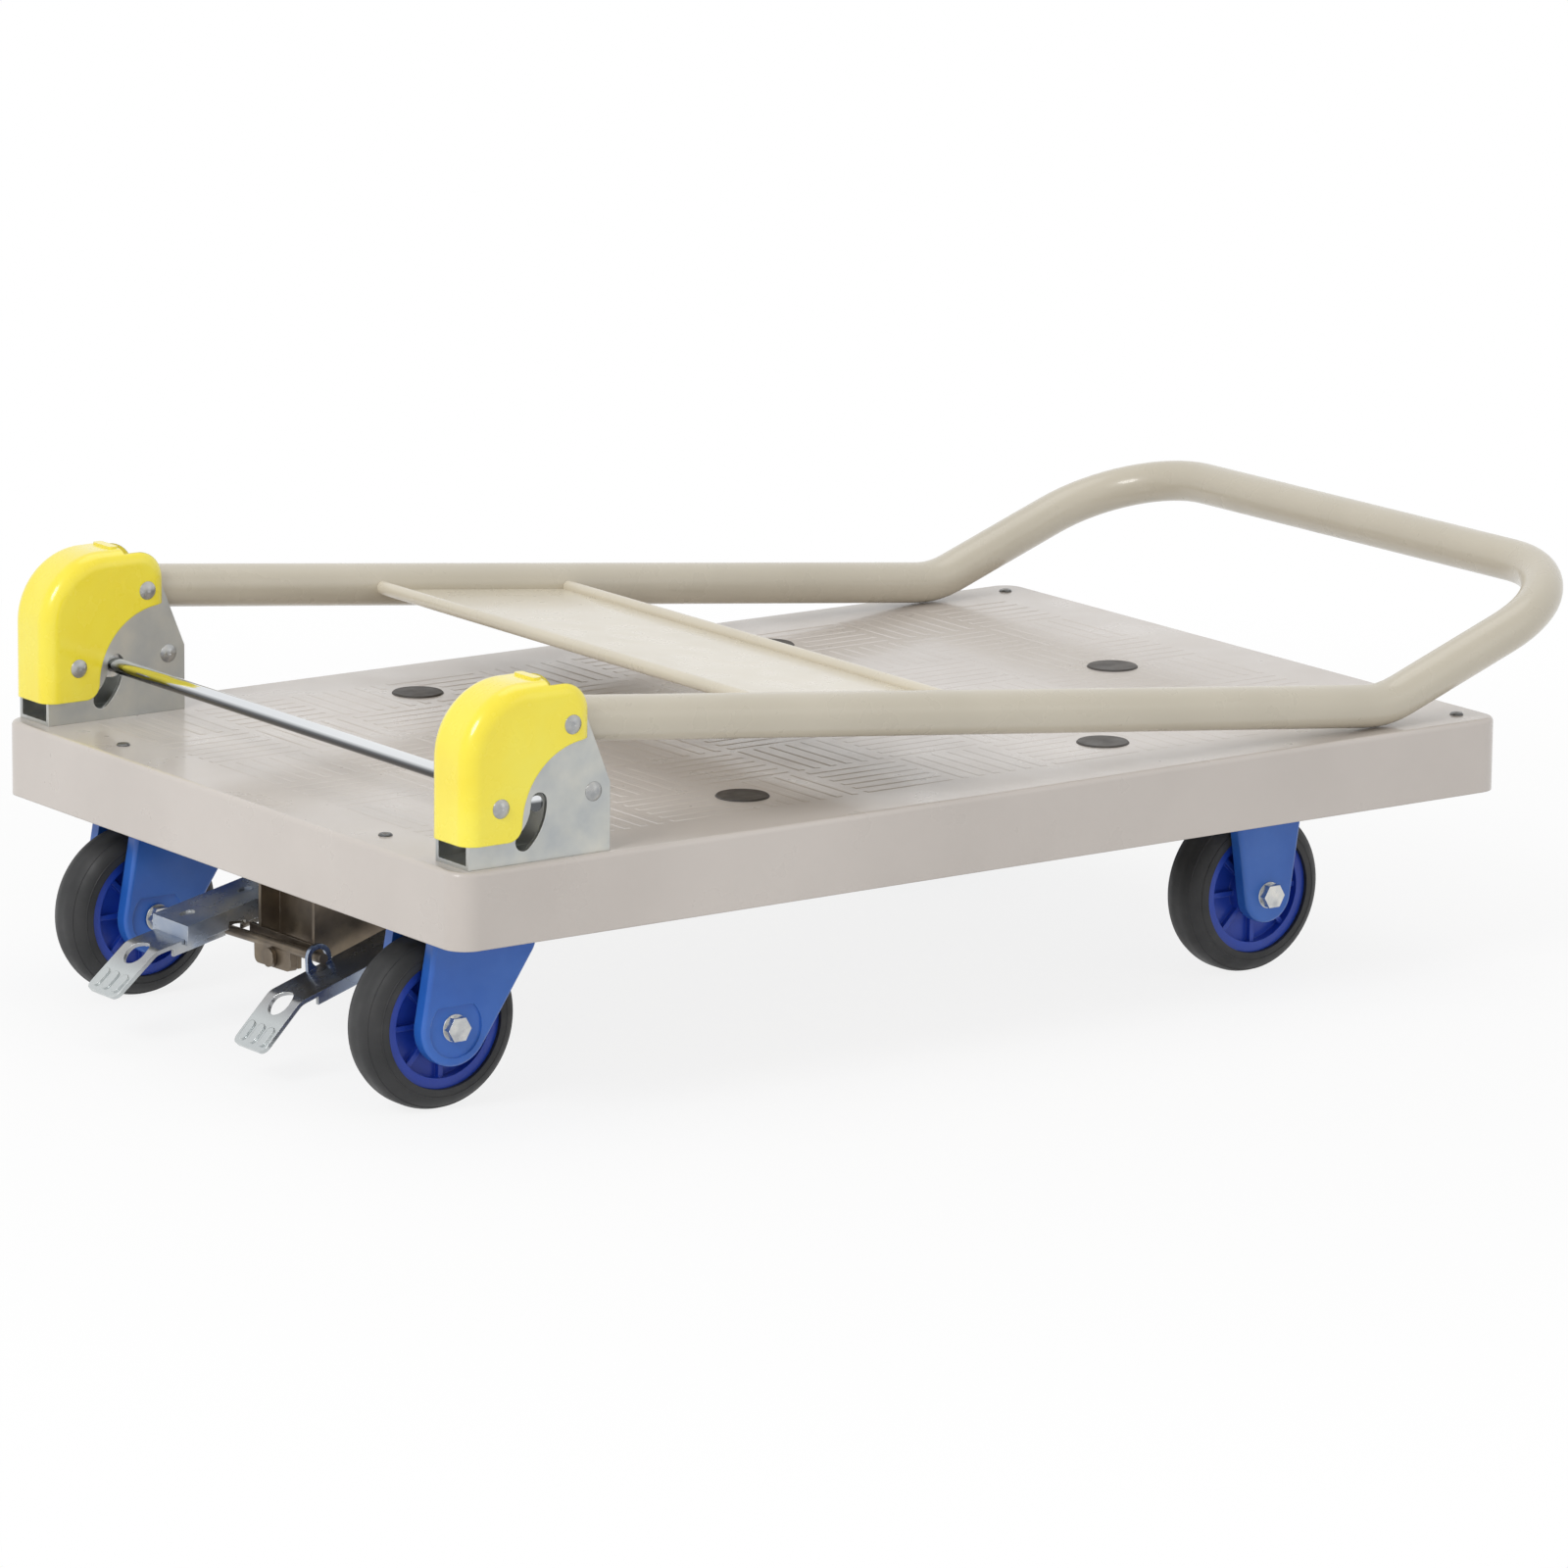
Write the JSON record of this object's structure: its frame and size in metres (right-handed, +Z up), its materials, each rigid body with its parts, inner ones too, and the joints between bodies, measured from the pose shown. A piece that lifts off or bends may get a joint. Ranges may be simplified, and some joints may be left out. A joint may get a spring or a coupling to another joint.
{
  "type": "folding platform trolley",
  "caption": "Flat platform trolley with a tubular push handle folded down over the deck, swivel casters at the handle end, fixed casters in front and foot brake pedals.",
  "frame": {"origin": "on the floor, below the middle of the trolley with its handle folded", "axes": "+X from the handle hinge end to the front, +Y to the left, +Z up"},
  "size_m": [0.8804, 0.4832, 0.2537],
  "materials": {
    "deck": "semi-gloss, fine grain",
    "galvanised_steel": "zinc plated",
    "bright_zinc": "bright zinc",
    "plug": "matte",
    "hinge_cover": "gloss",
    "handle_paint": "semi-gloss",
    "lock_rod": "bright",
    "fork": "semi-gloss",
    "wheel_centre": "semi-gloss",
    "tyre": "matte",
    "pedal": "blue zinc",
    "dark_steel": "dark zinc"
  },
  "bodies": {
    "platform": {"bracket_bolts": "bright_zinc", "brake_bracket": "dark_steel", "brake_bracket_bolts": "bright_zinc", "caster_bolts": "bright_zinc", "deck": "deck", "deck_plugs": "plug", "deck_rails": "galvanised_steel", "deck_screws": "bright_zinc", "front_axle_left": "bright_zinc", "front_axle_right": "bright_zinc", "front_crossmember": "galvanised_steel", "front_fork_left": "fork", "front_fork_right": "fork", "handle_pivot_rivets": "bright_zinc", "hinge_bracket_left": "galvanised_steel", "hinge_bracket_right": "galvanised_steel", "hinge_cover_left": "hinge_cover", "hinge_cover_right": "hinge_cover", "kingpins": "bright_zinc", "lock_pivot_rivets": "bright_zinc", "pedal_shaft": "bright_zinc", "pedal_spacers": "bright_zinc", "rear_crossmember": "galvanised_steel", "rocker_pin": "dark_steel", "stop_pins": "bright_zinc", "swivel_plate_left": "galvanised_steel", "swivel_plate_right": "galvanised_steel", "swivel_upper_races": "bright_zinc"},
    "handle": {"handle_tube": "handle_paint", "handle_panel": "handle_paint", "handle_pivot_bushes": "bright_zinc"},
    "handle_lock": {"lock_rod": "lock_rod", "lock_levers": "bright_zinc"},
    "brake_pedal": {"brake_pedal": "pedal", "brake_pedal_channel": "pedal"},
    "release_pedal": {"release_pedal": "pedal"},
    "brake_rocker": {"brake_rocker": "dark_steel"},
    "swivel_left": {"rear_fork_left": "fork", "rear_axle_left": "bright_zinc", "swivel_lower_race_left": "bright_zinc"},
    "rear_wheel_left": {"tyre_rear_left": "tyre", "wheel_centre_rear_left": "wheel_centre", "wheel_bush_rear_left": "bright_zinc"},
    "front_wheel_left": {"tyre_front_left": "tyre", "wheel_centre_front_left": "wheel_centre", "wheel_bush_front_left": "bright_zinc"},
    "swivel_right": {"rear_fork_right": "fork", "rear_axle_right": "bright_zinc", "swivel_lower_race_right": "bright_zinc"},
    "rear_wheel_right": {"tyre_rear_right": "tyre", "wheel_centre_rear_right": "wheel_centre", "wheel_bush_rear_right": "bright_zinc"},
    "front_wheel_right": {"tyre_front_right": "tyre", "wheel_centre_front_right": "wheel_centre", "wheel_bush_front_right": "bright_zinc"}
  },
  "joints": [
    {"name": "handle_fold", "type": "hinge", "parent": "platform", "child": "handle", "pos_m": [-0.3199, 0, 0.2273], "axis": [0, -1, 0], "range_deg": [0, 96.05]},
    {"name": "lock_release", "type": "hinge", "parent": "platform", "child": "handle_lock", "pos_m": [-0.3669, 0, 0.186], "axis": [0, 1, 0], "range_deg": [0, 45], "stiffness_Nm_per_rad": 0.3, "springref_deg": -34.38},
    {"name": "brake_press", "type": "hinge", "parent": "platform", "child": "brake_pedal", "pos_m": [-0.2654, 0, 0.079], "axis": [0, -1, 0], "range_deg": [0, 5.4]},
    {"name": "release_press", "type": "hinge", "parent": "platform", "child": "release_pedal", "pos_m": [-0.2654, 0, 0.079], "axis": [0, -1, 0], "range_deg": [-5.4, 0]},
    {"name": "rocker_swing", "type": "hinge", "parent": "platform", "child": "brake_rocker", "pos_m": [-0.3594, 0, 0.05402], "axis": [-1, 0, 0], "range_deg": [0, 11.47]},
    {"name": "swivel_turn_left", "type": "hinge", "parent": "platform", "child": "swivel_left", "pos_m": [-0.3294, 0.156, 0.1285], "axis": [0, 0, 1], "continuous": true},
    {"name": "rear_wheel_spin_left", "type": "hinge", "parent": "swivel_left", "child": "rear_wheel_left", "pos_m": [-0.3574, 0.156, 0.05], "axis": [0, 1, 0], "continuous": true},
    {"name": "front_wheel_spin_left", "type": "hinge", "parent": "platform", "child": "front_wheel_left", "pos_m": [0.2176, 0.156, 0.05], "axis": [0, 1, 0], "continuous": true},
    {"name": "swivel_turn_right", "type": "hinge", "parent": "platform", "child": "swivel_right", "pos_m": [-0.3294, -0.156, 0.1285], "axis": [0, 0, 1], "continuous": true},
    {"name": "rear_wheel_spin_right", "type": "hinge", "parent": "swivel_right", "child": "rear_wheel_right", "pos_m": [-0.3574, -0.156, 0.05], "axis": [0, 1, 0], "continuous": true},
    {"name": "front_wheel_spin_right", "type": "hinge", "parent": "platform", "child": "front_wheel_right", "pos_m": [0.2176, -0.156, 0.05], "axis": [0, 1, 0], "continuous": true}
  ],
  "couplings": [
    {"joint": "release_press", "follows": "brake_press", "ratio": -1},
    {"joint": "rocker_swing", "follows": "brake_press", "ratio": 2.1243}
  ]
}
